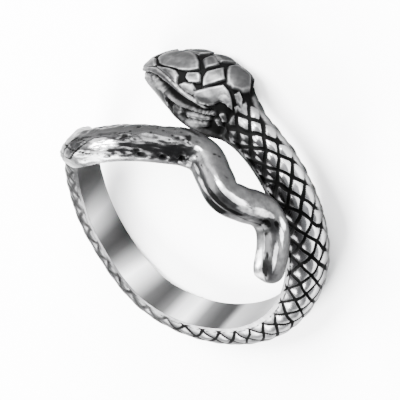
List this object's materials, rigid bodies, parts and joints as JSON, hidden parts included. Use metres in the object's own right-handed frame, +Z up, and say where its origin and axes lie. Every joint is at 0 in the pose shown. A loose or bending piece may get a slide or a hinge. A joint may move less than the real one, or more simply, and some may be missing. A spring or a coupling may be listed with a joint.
{
  "type": "snake wrap ring",
  "caption": "Open wrap ring in cast antique-silver metal, shaped as a coiled snake with a plated head, scaled body and plain curved tail.",
  "frame": {"origin": "centre of the ring's bounding box, on the surface that it lies on", "axes": "+Z up from the surface; -Y is the side that the picture looks at; the finger's axis leans about 9 degrees from +Z"},
  "size_m": [0.0216, 0.0216, 0.011],
  "materials": {
    "antique_silver": "cast relief, polished high spots, blackened grooves"
  },
  "bodies": {
    "root": {"snake_ring": "antique_silver"}
  },
  "joints": []
}
